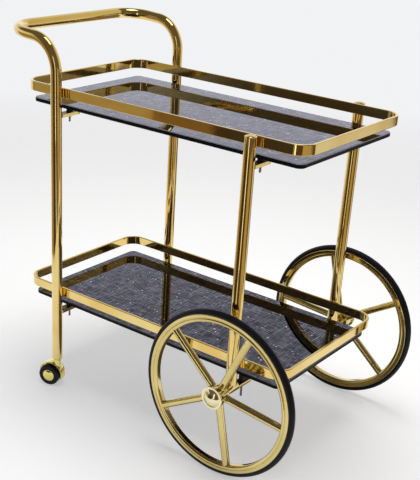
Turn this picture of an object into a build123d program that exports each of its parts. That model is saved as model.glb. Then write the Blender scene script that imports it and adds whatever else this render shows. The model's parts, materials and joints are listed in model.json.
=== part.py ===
from build123d import *
import os
from math import cos, radians, sin

# Two-shelf service cart, in millimetres.
# X runs along the cart: the handle and casters are at -X, the large wheels at +X.
# Y runs across it, with the left side at +Y. Z is up, and the floor is z = 0.
# The origin lies on the floor, under the middle of the whole cart.

# Tube frame
tube_diameter = 25.0
tube_wall = 1.5
leg_spacing_x = 520.0
leg_spacing_y = 425.0
handle_reach = 154.0
handle_height = 848.0
handle_arm_rise = 10.0
handle_bend_radius = 70.0
handle_corner_radius = 67.0
rear_leg_end = 74.0
cap_drop = 2.0
cap_rim = 1.5
cap_dome = 3.0
cap_plug = 8.0

# Rails
rail_overhang = 117.5
rail_height = 22.0
rail_thickness = 6.0
rail_corner_radius = 40.0
rail_edge_radius = 1.0

# Glass shelves
shelf_above_axle = 18.0
shelf_pitch = 480.0
glass_thickness = 10.0
glass_inset = 15.0
glass_corner_radius = 15.0
glass_edge_chamfer = 1.5
glass_to_rail = 18.0

# Shelf supports
tab_width = 20.0
tab_thickness = 8.0
tab_reach = 58.0
tab_below_axle = 1.0
pad_distance = 30.0
pad_diameter = 15.0
pad_height = 8.0
pad_edge_radius = 1.0
collar_diameter = 15.0
stud_diameter = 5.0
stud_grip = 5.0
stud_tail_top = 15.0
stud_tail_rear = 20.0
stud_tail_front = 31.0
nut_across_flats = 8.0
nut_height = 4.0

# Axles of the large wheels
sleeve_diameter = 26.0
sleeve_wall = 2.0
sleeve_length = 36.0
insert_length = 30.0
insert_floor = 6.0
axle_diameter = 10.0
axle_head_diameter = 18.0
axle_head_height = 5.0
washer_diameter = 19.0
washer_thickness = 1.5
end_play = 0.3
running_clearance = 0.05

# Large wheels
tyre_radius = 190.0
tyre_height = 10.0
tyre_width = 17.0
tyre_shoulder = 4.0
rim_depth = 17.5
rim_width = 16.0
rim_band = 7.5
rim_groove_width = 2.0
rim_groove_depth = 1.2
rim_ring_width = 18.0
rim_ring_edge_radius = 0.6
spoke_count = 5
spoke_diameter = 16.5
spoke_turn_left = 32.0
spoke_turn_right = 66.0
spoke_to_hub_end = 21.5
hub_length = 40.7
hub_neck_diameter = 24.0
hub_drum_diameter = 44.0
hub_drum_length = 31.0
hub_recess_diameter = 24.0
hub_recess_depth = 12.0
bush_wall = 2.0
bush_length = 10.0
hub_cap_diameter = 52.0
hub_cap_rim = 3.5
hub_cap_plug = 3.0
hub_dome_diameter = 40.0
hub_dome_height = 9.5

# Casters
caster_wheel_diameter = 53.0
caster_wheel_width = 16.5
caster_wheel_edge_radius = 3.0
caster_trail = 15.0
caster_turn = 17.0
caster_axle_diameter = 6.0
caster_axle_end_gap = 2.0
web_thickness = 5.0
web_clearance = 1.0
web_lobe_diameter = 18.0
hood_width = 22.0
hood_wall = 2.5
hood_clearance = 2.5
hood_tilt = 20.0
boss_diameter = 18.0
boss_depth = 24.0
stem_diameter = 10.0
stem_grip = 8.0
stem_collar_diameter = 14.0
stem_collar_height = 1.7
socket_flange = 4.0
socket_length = 34.0
stem_end_gap = 2.0
disc_diameter = 30.0
disc_rim = 2.0
disc_dome = 3.0

# Places that follow from the sizes above
tube_radius = tube_diameter / 2
tube_bore_radius = tube_radius - tube_wall
cart_length = tube_radius + handle_reach + leg_spacing_x + tyre_radius
front_leg_x = cart_length / 2 - tyre_radius
rear_leg_x = front_leg_x - leg_spacing_x
shelf_x = (front_leg_x + rear_leg_x) / 2
leg_y = leg_spacing_y / 2
leg_inner_y = leg_y - tube_radius
axle_z = tyre_radius

rail_length = leg_spacing_x + 2 * rail_overhang
rail_width = 2 * leg_inner_y
glass_length = rail_length - 2 * glass_inset
glass_width = rail_width - 2 * glass_inset
lower_glass_z = axle_z + shelf_above_axle
top_glass_z = lower_glass_z + shelf_pitch
rail_above_glass = glass_thickness + glass_to_rail
front_leg_end = top_glass_z + rail_above_glass + rail_height - cap_drop

sleeve_radius = sleeve_diameter / 2
sleeve_end = leg_inner_y + sleeve_length
hub_start = sleeve_end + washer_thickness + end_play
hub_end = hub_start + hub_length
hub_floor = hub_end - hub_recess_depth
spoke_y = hub_end - spoke_to_hub_end
axle_radius = axle_diameter / 2
bush_bore_radius = axle_radius + running_clearance
bush_radius = bush_bore_radius + bush_wall
rim_radius = tyre_radius - tyre_height
rim_bore_radius = rim_radius - rim_depth
rim_band_radius = rim_radius - rim_band
rim_ring_radius = rim_band_radius - rim_groove_width

caster_wheel_radius = caster_wheel_diameter / 2
caster_wheel_start = web_thickness / 2 + web_clearance
caster_wheel_end = caster_wheel_start + caster_wheel_width
hood_bore_radius = caster_wheel_radius + hood_clearance
hood_radius = hood_bore_radius + hood_wall
socket_end = rear_leg_end - socket_flange
boss_end = socket_end - end_play - stem_collar_height

sides = {"left": 1, "right": -1}
trail_direction = Vector(-cos(radians(caster_turn)), -sin(radians(caster_turn)), 0)
caster_axle_direction = Vector(0, 0, 1).cross(trail_direction)

os.makedirs("parts", exist_ok=True)


def save(piece, name):
    """Label a finished piece and write it to its own file."""
    piece.part.label = name
    export_step(piece.part, "parts/" + name + ".step")


def leg_plane(x, side, z):
    """Level plane at a leg's axis, with its own x pointing inward across the cart."""
    return Plane(origin=(x, side * leg_y, z), x_dir=(0, -side, 0), z_dir=(0, 0, 1))


def wheel_plane(side, start=0):
    """Plane through a large wheel's axle: x is the radius, y the distance outward from a start."""
    return Plane(origin=(front_leg_x, side * start, axle_z), x_dir=(0, 0, 1), z_dir=(-side, 0, 0))


def wheel_axis():
    """Common axis of the large wheels."""
    return Axis((front_leg_x, 0, axle_z), (0, 1, 0))


def caster_plane(side, z=0):
    """Level plane at a caster's swivel axis, with its own x pointing along the trail."""
    return Plane(origin=(rear_leg_x, side * leg_y, z), x_dir=trail_direction, z_dir=(0, 0, 1))


def caster_side_plane(side):
    """Upright plane through a caster's middle: x runs along the trail and y is up."""
    origin = (rear_leg_x, side * leg_y, 0)
    return Plane(origin=origin, x_dir=trail_direction, z_dir=-caster_axle_direction)


def caster_axle_centre(side):
    """Point on the floor frame where a caster's axle crosses its middle plane."""
    return caster_plane(side).from_local_coords(Vector(caster_trail, 0, caster_wheel_radius))


def caster_turning_plane(side, face):
    """Plane through a caster's axle: x is the radius, y the distance from its middle."""
    outward = caster_axle_direction * face
    upward = Vector(0, 0, 1)
    return Plane(origin=caster_axle_centre(side), x_dir=upward, z_dir=upward.cross(outward))


def caster_axis(side):
    """Axle line of a caster."""
    return Axis(caster_axle_centre(side), caster_axle_direction)


# Rear legs and handle, one bent tube
corner_z = handle_height - handle_arm_rise
handle_x = rear_leg_x - handle_reach
frame_points = [
    (rear_leg_x, leg_y, rear_leg_end),
    (rear_leg_x, leg_y, corner_z),
    (handle_x, leg_y, handle_height),
    (handle_x, -leg_y, handle_height),
    (rear_leg_x, -leg_y, corner_z),
    (rear_leg_x, -leg_y, rear_leg_end),
]
frame_radii = [handle_bend_radius, handle_corner_radius, handle_corner_radius, handle_bend_radius]
with BuildPart() as rear_frame:
    with BuildLine() as frame_path:
        FilletPolyline(*frame_points, radius=frame_radii)
    with BuildSketch(Plane(origin=frame_points[0], z_dir=(0, 0, 1))):
        Circle(tube_radius)
        Circle(tube_bore_radius, mode=Mode.SUBTRACT)
    sweep(path=frame_path.wires()[0])
save(rear_frame, "rear_frame")


# Front legs, their caps, and the axle sleeves they stand on
def make_front_leg(name, side):
    """Straight tube, coped at its lower end onto the axle sleeve."""
    with BuildPart() as leg:
        with BuildSketch(leg_plane(front_leg_x, side, axle_z)):
            Circle(tube_radius)
            Circle(tube_bore_radius, mode=Mode.SUBTRACT)
        extrude(amount=front_leg_end - axle_z)
        with BuildSketch(Plane.XZ):
            with Locations((front_leg_x, axle_z)):
                Circle(sleeve_radius)
        extrude(amount=leg_spacing_y, both=True, mode=Mode.SUBTRACT)
    save(leg, "front_leg_" + name)


def make_leg_cap(name, side):
    """Domed plug in the upper end of a front leg."""
    cap_origin = (front_leg_x, side * leg_y, front_leg_end)
    cap_plane = Plane(origin=cap_origin, x_dir=(1, 0, 0), z_dir=(0, -1, 0))
    with BuildPart() as leg_cap:
        with BuildSketch(cap_plane):
            with BuildLine():
                Polyline(
                    (0, cap_rim + cap_dome),
                    (0, -cap_plug),
                    (tube_bore_radius, -cap_plug),
                    (tube_bore_radius, 0),
                    (tube_radius, 0),
                    (tube_radius, cap_rim),
                )
                TangentArc((0, cap_rim + cap_dome), (tube_radius, cap_rim), tangent=(1, 0))
            make_face()
        revolve(axis=Axis(cap_origin, (0, 0, 1)))
    save(leg_cap, "front_leg_cap_" + name)


def make_axle_sleeve(name, side):
    """Short cross tube under a front leg, flush with the leg's inner face."""
    with BuildPart() as sleeve:
        with BuildSketch(wheel_plane(side)):
            with BuildLine():
                Polyline(
                    (sleeve_radius - sleeve_wall, leg_inner_y),
                    (sleeve_radius, leg_inner_y),
                    (sleeve_radius, sleeve_end),
                    (sleeve_radius - sleeve_wall, sleeve_end),
                    close=True,
                )
            make_face()
        revolve(axis=wheel_axis())
    save(sleeve, "axle_sleeve_" + name)


def make_axle_insert(name, side):
    """Plug inside a sleeve with the blind threaded hole for the axle bolt."""
    insert_radius = sleeve_radius - sleeve_wall
    insert_end = leg_inner_y + insert_length
    with BuildPart() as insert:
        with BuildSketch(wheel_plane(side)):
            with BuildLine():
                Polyline(
                    (0, leg_inner_y),
                    (insert_radius, leg_inner_y),
                    (insert_radius, insert_end),
                    (axle_radius, insert_end),
                    (axle_radius, leg_inner_y + insert_floor),
                    (0, leg_inner_y + insert_floor),
                    close=True,
                )
            make_face()
        revolve(axis=wheel_axis())
    save(insert, "axle_insert_" + name)


for side_name, side_sign in sides.items():
    make_front_leg(side_name, side_sign)
    make_leg_cap(side_name, side_sign)
    make_axle_sleeve(side_name, side_sign)
    make_axle_insert(side_name, side_sign)


# Rails and glass shelves
def make_rail(name, glass_z):
    """Closed flat-bar loop whose long sides lie against the inner faces of the legs."""
    with BuildPart() as rail:
        with BuildSketch(Plane(origin=(shelf_x, 0, glass_z + rail_above_glass))):
            RectangleRounded(rail_length, rail_width, rail_corner_radius)
            offset(amount=-rail_thickness, mode=Mode.SUBTRACT)
        extrude(amount=rail_height)
        fillet(rail.faces().filter_by(Axis.Z).edges(), radius=rail_edge_radius)
    save(rail, name + "_rail")


def make_glass(name, glass_z):
    """Glass plate with rounded corners and ground edges."""
    with BuildPart() as glass:
        with BuildSketch(Plane(origin=(shelf_x, 0, glass_z))):
            RectangleRounded(glass_length, glass_width, glass_corner_radius)
        extrude(amount=glass_thickness)
        chamfer(glass.faces().filter_by(Axis.Z).edges(), length=glass_edge_chamfer)
    save(glass, name + "_glass")


for shelf_name, shelf_z in (("top", top_glass_z), ("lower", lower_glass_z)):
    make_rail(shelf_name, shelf_z)
    make_glass(shelf_name, shelf_z)

# Shelf supports: the upper face of each tab, the tail of its stud and the glass it carries.
# The front lower tabs are welded to the ends of the axle sleeves, so they stand lower.
front_tab_z = axle_z - tab_below_axle
corners = [(x, side) for x in (front_leg_x, rear_leg_x) for side in sides.values()]
supports = {"top": [], "lower": []}
for leg_x, side_sign in corners:
    is_front = leg_x > shelf_x
    lower_tab_z = front_tab_z if is_front else lower_glass_z - pad_height
    lower_tail = stud_tail_front if is_front else stud_tail_rear
    supports["top"].append((leg_x, side_sign, top_glass_z - pad_height, stud_tail_top))
    supports["lower"].append((leg_x, side_sign, lower_tab_z, lower_tail))


def make_tabs(name):
    """Flat bars with a round inner end, coped to the legs and drilled for the studs."""
    tab_end = tube_radius + tab_reach
    with BuildPart() as tabs:
        for x, side, z, tail in supports[name]:
            with BuildSketch(leg_plane(x, side, z - tab_thickness)):
                with Locations((tab_end - tab_width / 2, 0)):
                    Circle(tab_width / 2)
                    Rectangle(tab_end - tab_width / 2, tab_width, align=(Align.MAX, Align.CENTER))
                Circle(tube_radius, mode=Mode.SUBTRACT)
                if z < axle_z:
                    Rectangle(tube_radius, tab_width, align=(Align.MIN, Align.CENTER), mode=Mode.SUBTRACT)
                with Locations((tube_radius + pad_distance, 0)):
                    Circle(stud_diameter / 2, mode=Mode.SUBTRACT)
            extrude(amount=tab_thickness)
    save(tabs, name + "_tabs")


def make_pads(name, glass_z):
    """Rubber pads that carry the glass, each with a blind hole for its stud."""
    with BuildPart() as pads:
        for x, side, z, tail in supports[name]:
            with BuildSketch(leg_plane(x, side, glass_z - pad_height)):
                with Locations((tube_radius + pad_distance, 0)):
                    Circle(pad_diameter / 2)
            extrude(amount=pad_height)
        fillet(pads.faces().sort_by(Axis.Z)[-len(corners):].edges(), radius=pad_edge_radius)
        for x, side, z, tail in supports[name]:
            with BuildSketch(leg_plane(x, side, glass_z - pad_height)):
                with Locations((tube_radius + pad_distance, 0)):
                    Circle(stud_diameter / 2)
            extrude(amount=stud_grip, mode=Mode.SUBTRACT)
    save(pads, name + "_pads")


def make_studs(name, glass_z):
    """Threaded studs, held in the pads and passing down through the tabs."""
    with BuildPart() as studs:
        for x, side, z, tail in supports[name]:
            stud_end = z - tab_thickness - tail
            with BuildSketch(leg_plane(x, side, stud_end)):
                with Locations((tube_radius + pad_distance, 0)):
                    Circle(stud_diameter / 2)
            extrude(amount=glass_z - pad_height + stud_grip - stud_end)
    save(studs, name + "_studs")


def make_nuts(name):
    """Hexagon nuts that clamp the studs from below."""
    with BuildPart() as nuts:
        for x, side, z, tail in supports[name]:
            with BuildSketch(leg_plane(x, side, z - tab_thickness - nut_height)):
                with Locations((tube_radius + pad_distance, 0)):
                    RegularPolygon(nut_across_flats / 2, 6, major_radius=False)
                    Circle(stud_diameter / 2, mode=Mode.SUBTRACT)
            extrude(amount=nut_height)
    save(nuts, name + "_nuts")


for shelf_name, shelf_z in (("top", top_glass_z), ("lower", lower_glass_z)):
    make_tabs(shelf_name)
    make_pads(shelf_name, shelf_z)
    make_studs(shelf_name, shelf_z)
    make_nuts(shelf_name)

# Spacer collars between the front lower tabs and their pads
with BuildPart() as collars:
    for side_sign in sides.values():
        with BuildSketch(leg_plane(front_leg_x, side_sign, front_tab_z)):
            with Locations((tube_radius + pad_distance, 0)):
                Circle(collar_diameter / 2)
                Circle(stud_diameter / 2, mode=Mode.SUBTRACT)
        extrude(amount=lower_glass_z - pad_height - front_tab_z)
save(collars, "lower_front_collars")


# Large wheels
def make_tyre(name, side):
    """Solid rubber tyre with a crowned tread."""
    half_width = tyre_width / 2
    shoulder_radius = rim_radius + tyre_shoulder
    with BuildPart() as tyre:
        with BuildSketch(wheel_plane(side, spoke_y)):
            with BuildLine():
                Polyline(
                    (shoulder_radius, -half_width),
                    (rim_radius, -half_width),
                    (rim_radius, half_width),
                    (shoulder_radius, half_width),
                )
                ThreePointArc(
                    (shoulder_radius, -half_width),
                    (tyre_radius, 0),
                    (shoulder_radius, half_width),
                )
            make_face()
        revolve(axis=wheel_axis())
    save(tyre, "tyre_" + name)


def make_rim(name, side):
    """Rim with a flat outer band, a groove on each face and a slightly wider inner ring."""
    half_width = rim_width / 2
    groove_half_width = half_width - rim_groove_depth
    ring_half_width = rim_ring_width / 2
    with BuildPart() as rim:
        with BuildSketch(wheel_plane(side, spoke_y)) as section:
            with BuildLine():
                Polyline(
                    (rim_bore_radius, ring_half_width),
                    (rim_ring_radius, ring_half_width),
                    (rim_ring_radius, groove_half_width),
                    (rim_band_radius, groove_half_width),
                    (rim_band_radius, half_width),
                    (rim_radius, half_width),
                    (rim_radius, -half_width),
                    (rim_band_radius, -half_width),
                    (rim_band_radius, -groove_half_width),
                    (rim_ring_radius, -groove_half_width),
                    (rim_ring_radius, -ring_half_width),
                    (rim_bore_radius, -ring_half_width),
                    close=True,
                )
            make_face()
            fillet(section.vertices().group_by(Axis.X)[0], radius=rim_ring_edge_radius)
        revolve(axis=wheel_axis())
    save(rim, "rim_" + name)
    return rim


def make_hub(name, side):
    """Hub with a neck towards the cart and a drum with a recess for the bolt head."""
    neck_radius = hub_neck_diameter / 2
    drum_radius = hub_drum_diameter / 2
    recess_radius = hub_recess_diameter / 2
    drum_start = hub_end - hub_drum_length
    with BuildPart() as hub:
        with BuildSketch(wheel_plane(side)):
            with BuildLine():
                Polyline(
                    (bush_radius, hub_start),
                    (neck_radius, hub_start),
                    (neck_radius, drum_start),
                    (drum_radius, drum_start),
                    (drum_radius, hub_end),
                    (recess_radius, hub_end),
                    (recess_radius, hub_floor),
                    (bush_radius, hub_floor),
                    close=True,
                )
            make_face()
        revolve(axis=wheel_axis())
    save(hub, "hub_" + name)
    return hub


def make_spokes(name, side, turn, rim, hub):
    """Round spokes, coped to the hub drum and to the inner ring of the rim."""
    spoke_start = (hub_recess_diameter + hub_drum_diameter) / 4
    spoke_end = (rim_bore_radius + rim_ring_radius) / 2
    with BuildPart() as spokes:
        for index in range(spoke_count):
            angle = radians(turn + index * 360 / spoke_count)
            outward = Vector(cos(angle), 0, sin(angle))
            centre = Vector(front_leg_x, side * spoke_y, axle_z)
            with BuildSketch(Plane(origin=centre + outward * spoke_start, z_dir=outward)):
                Circle(spoke_diameter / 2)
            extrude(amount=spoke_end - spoke_start)
        add(hub.part, mode=Mode.SUBTRACT)
        add(rim.part, mode=Mode.SUBTRACT)
    save(spokes, "spokes_" + name)


def make_bushes(name, side):
    """Two plain bushes in the hub's bore, one at each end."""
    with BuildPart() as bushes:
        for start in (hub_start, hub_floor - bush_length):
            with BuildSketch(wheel_plane(side)):
                with BuildLine():
                    Polyline(
                        (bush_bore_radius, start),
                        (bush_radius, start),
                        (bush_radius, start + bush_length),
                        (bush_bore_radius, start + bush_length),
                        close=True,
                    )
                make_face()
            revolve(axis=wheel_axis())
    save(bushes, "bushes_" + name)


def make_hub_cap(name, side):
    """Domed cap with a flat rim, plugged into the hub's recess."""
    plug_radius = hub_recess_diameter / 2
    rim_end = hub_end + hub_cap_rim
    dome_end = rim_end + hub_dome_height
    with BuildPart() as hub_cap:
        with BuildSketch(wheel_plane(side)):
            with BuildLine():
                Polyline(
                    (0, dome_end),
                    (0, hub_end - hub_cap_plug),
                    (plug_radius, hub_end - hub_cap_plug),
                    (plug_radius, hub_end),
                    (hub_cap_diameter / 2, hub_end),
                    (hub_cap_diameter / 2, rim_end),
                    (hub_dome_diameter / 2, rim_end),
                )
                TangentArc((0, dome_end), (hub_dome_diameter / 2, rim_end), tangent=(1, 0))
            make_face()
        revolve(axis=wheel_axis())
    save(hub_cap, "hub_cap_" + name)


def make_axle_bolt(name, side):
    """Shouldered bolt from the sleeve's insert through the hub, with its head in the recess."""
    shank_start = leg_inner_y + insert_floor
    head_start = hub_floor + end_play + washer_thickness
    head_end = head_start + axle_head_height
    with BuildPart() as bolt:
        with BuildSketch(wheel_plane(side)):
            with BuildLine():
                Polyline(
                    (0, shank_start),
                    (axle_radius, shank_start),
                    (axle_radius, head_start),
                    (axle_head_diameter / 2, head_start),
                    (axle_head_diameter / 2, head_end),
                    (0, head_end),
                    close=True,
                )
            make_face()
        revolve(axis=wheel_axis())
    save(bolt, "axle_bolt_" + name)


def make_washers(name, side):
    """Two thrust washers, one against the sleeve and one under the bolt head."""
    with BuildPart() as washers:
        for start in (sleeve_end, hub_floor + end_play):
            with BuildSketch(wheel_plane(side)):
                with BuildLine():
                    Polyline(
                        (axle_radius, start),
                        (washer_diameter / 2, start),
                        (washer_diameter / 2, start + washer_thickness),
                        (axle_radius, start + washer_thickness),
                        close=True,
                    )
                make_face()
            revolve(axis=wheel_axis())
    save(washers, "washers_" + name)


spoke_turns = {"left": spoke_turn_left, "right": spoke_turn_right}
for side_name, side_sign in sides.items():
    make_tyre(side_name, side_sign)
    wheel_rim = make_rim(side_name, side_sign)
    wheel_hub = make_hub(side_name, side_sign)
    make_spokes(side_name, side_sign, spoke_turns[side_name], wheel_rim, wheel_hub)
    make_bushes(side_name, side_sign)
    make_hub_cap(side_name, side_sign)
    make_axle_bolt(side_name, side_sign)
    make_washers(side_name, side_sign)


# Casters
def make_socket(name, side):
    """Flanged bearing sleeve in the lower end of a rear leg."""
    bore_radius = stem_diameter / 2 + running_clearance
    with BuildPart() as socket:
        with BuildSketch(caster_plane(side, socket_end)):
            Circle(tube_radius)
        extrude(amount=socket_flange)
        with BuildSketch(caster_plane(side, rear_leg_end)):
            Circle(tube_bore_radius)
        extrude(amount=socket_length)
        with BuildSketch(caster_plane(side, socket_end)):
            Circle(bore_radius)
        extrude(amount=socket_flange + socket_length, mode=Mode.SUBTRACT)
    save(socket, "caster_socket_" + name)


def make_stem(name, side):
    """Swivel pin with a collar that runs under the socket's flange."""
    stem_start = boss_end - stem_grip
    stem_end = rear_leg_end + socket_length - stem_end_gap
    with BuildPart() as stem:
        with BuildSketch(caster_plane(side, stem_start)):
            Circle(stem_diameter / 2)
        extrude(amount=stem_end - stem_start)
        with BuildSketch(caster_plane(side, boss_end)):
            Circle(stem_collar_diameter / 2)
        extrude(amount=stem_collar_height)
    save(stem, "caster_stem_" + name)


def make_hood(name, side):
    """Fender over the inner halves of the two wheels, with a web for the axle and a boss for the stem."""
    axle_point = (caster_trail, caster_wheel_radius)
    below_axle = Location(axle_point, hood_tilt)
    cut_size = 4 * hood_radius
    with BuildPart() as hood:
        with BuildSketch(caster_side_plane(side)):
            with Locations(axle_point):
                Circle(hood_radius)
        extrude(amount=hood_width / 2, both=True)
        with BuildSketch(caster_plane(side, boss_end - boss_depth)):
            Circle(boss_diameter / 2)
        extrude(amount=boss_depth)
        for face in (-1, 1):
            with BuildSketch(caster_side_plane(side).offset(face * web_thickness / 2)):
                with Locations(axle_point):
                    Circle(hood_bore_radius)
            extrude(amount=face * (hood_width + boss_diameter) / 2, mode=Mode.SUBTRACT)
        with BuildSketch(caster_side_plane(side)):
            with Locations(below_axle):
                Rectangle(cut_size, cut_size, align=(Align.CENTER, Align.MAX))
        extrude(amount=hood_width, both=True, mode=Mode.SUBTRACT)
        with BuildSketch(caster_side_plane(side)):
            with Locations(axle_point):
                Circle(web_lobe_diameter / 2)
        extrude(amount=web_thickness / 2, both=True)
        with BuildSketch(caster_side_plane(side)):
            with Locations(axle_point):
                Circle(caster_axle_diameter / 2)
        extrude(amount=web_thickness, both=True, mode=Mode.SUBTRACT)
        with BuildSketch(caster_plane(side, boss_end - stem_grip)):
            Circle(stem_diameter / 2)
        extrude(amount=stem_grip, mode=Mode.SUBTRACT)
    save(hood, "caster_hood_" + name)


def make_caster_axle(name, side):
    """Pin pressed through the hood's web, which both wheels turn on."""
    half_length = caster_wheel_end - disc_rim - caster_axle_end_gap
    with BuildPart() as axle:
        with BuildSketch(caster_side_plane(side)):
            with Locations((caster_trail, caster_wheel_radius)):
                Circle(caster_axle_diameter / 2)
        extrude(amount=half_length, both=True)
    save(axle, "caster_axle_" + name)


def make_caster_wheel(name, side, face):
    """Round-edged wheel with a blind bore and a shallow seat for its disc."""
    radius = caster_wheel_radius
    edge = caster_wheel_edge_radius
    bore_radius = caster_axle_diameter / 2 + running_clearance
    bore_end = caster_wheel_end - disc_rim
    with BuildPart() as wheel:
        with BuildSketch(caster_turning_plane(side, face)):
            with BuildLine():
                Polyline(
                    (radius - edge, caster_wheel_start),
                    (bore_radius, caster_wheel_start),
                    (bore_radius, bore_end),
                    (disc_diameter / 2, bore_end),
                    (disc_diameter / 2, caster_wheel_end),
                    (radius - edge, caster_wheel_end),
                )
                TangentArc(
                    (radius - edge, caster_wheel_end),
                    (radius, caster_wheel_end - edge),
                    tangent=(1, 0),
                )
                Line((radius, caster_wheel_end - edge), (radius, caster_wheel_start + edge))
                TangentArc(
                    (radius, caster_wheel_start + edge),
                    (radius - edge, caster_wheel_start),
                    tangent=(0, -1),
                )
            make_face()
        revolve(axis=caster_axis(side))
    save(wheel, name)


def make_caster_disc(name, side, face):
    """Domed trim disc in the seat on a caster wheel's outer face."""
    disc_start = caster_wheel_end - disc_rim
    disc_end = caster_wheel_end + disc_dome
    with BuildPart() as disc:
        with BuildSketch(caster_turning_plane(side, face)):
            with BuildLine():
                Polyline(
                    (0, disc_end),
                    (0, disc_start),
                    (disc_diameter / 2, disc_start),
                    (disc_diameter / 2, caster_wheel_end),
                )
                TangentArc((0, disc_end), (disc_diameter / 2, caster_wheel_end), tangent=(1, 0))
            make_face()
        revolve(axis=caster_axis(side))
    save(disc, name)


caster_faces = {"inner": 1, "outer": -1}
for side_name, side_sign in sides.items():
    make_socket(side_name, side_sign)
    make_stem(side_name, side_sign)
    make_hood(side_name, side_sign)
    make_caster_axle(side_name, side_sign)
    for face_name, face_sign in caster_faces.items():
        wheel_face = face_sign * side_sign
        make_caster_wheel("caster_wheel_" + side_name + "_" + face_name, side_sign, wheel_face)
        make_caster_disc("caster_disc_" + side_name + "_" + face_name, side_sign, wheel_face)
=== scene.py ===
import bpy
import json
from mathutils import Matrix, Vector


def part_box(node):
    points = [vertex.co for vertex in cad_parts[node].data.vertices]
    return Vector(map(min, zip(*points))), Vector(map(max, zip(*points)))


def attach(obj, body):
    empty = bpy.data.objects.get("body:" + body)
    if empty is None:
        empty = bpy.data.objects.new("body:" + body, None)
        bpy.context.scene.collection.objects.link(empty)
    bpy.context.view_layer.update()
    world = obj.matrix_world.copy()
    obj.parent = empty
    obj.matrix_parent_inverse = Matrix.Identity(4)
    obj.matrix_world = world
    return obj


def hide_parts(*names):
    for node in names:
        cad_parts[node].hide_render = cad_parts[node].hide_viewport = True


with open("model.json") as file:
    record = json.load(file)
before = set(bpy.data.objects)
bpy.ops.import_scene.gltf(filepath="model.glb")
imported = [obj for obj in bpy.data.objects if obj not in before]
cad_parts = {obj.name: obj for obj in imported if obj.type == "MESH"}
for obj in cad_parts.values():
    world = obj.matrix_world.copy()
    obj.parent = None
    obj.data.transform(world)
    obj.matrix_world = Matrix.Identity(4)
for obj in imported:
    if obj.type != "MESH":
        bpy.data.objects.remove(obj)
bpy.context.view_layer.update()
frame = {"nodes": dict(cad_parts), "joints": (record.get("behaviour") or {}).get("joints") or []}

import json
from collections import namedtuple
from functools import cache
from math import asin, cos, pi, radians, sin, sqrt, tan

import bmesh
import bpy
from bmesh.types import BMEdge, BMVert
from bpy.props import FloatProperty, FloatVectorProperty, IntProperty, PointerProperty
from mathutils import Matrix, Vector

bl_info = {
    "name": "Service cart",
    "version": (1, 0, 0),
    "blender": (4, 5, 0),
    "location": "3D View > Sidebar > Cart",
    "description": "Builds a two-shelf service cart round its solid frame, piece by piece",
    "category": "Object",
}

# Places read from the frame
SIDES = {"left": 1, "right": -1}
SHELVES = ("top", "lower")
UP = Vector((0, 0, 1))
JOINT_POINTS = {joint["name"]: Vector(joint["pos_m"]) for joint in frame["joints"]}
FRONT_X, SPOKE_Y, AXLE_Z = JOINT_POINTS["wheel_left_spin"]
REAR_X, LEG_Y = JOINT_POINTS["caster_left_swivel"].xy


def axle_span(node):
    """Inner end, outer end and radius of a node that is turned about a wheel's axle."""
    low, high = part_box(node)
    near, far = sorted((abs(low.y), abs(high.y)))
    return near, far, (high.z - low.z) / 2


# Sizes and colours
def length(name, description, default):
    """Length in metres."""
    return FloatProperty(name=name, description=description, default=default, min=0, precision=5,
                         unit="LENGTH")


def colour(name, description, default):
    """Colour as the surface shows it under white light."""
    return FloatVectorProperty(name=name, description=description, default=default, min=0, max=1,
                               size=3, subtype="COLOR")


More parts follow.
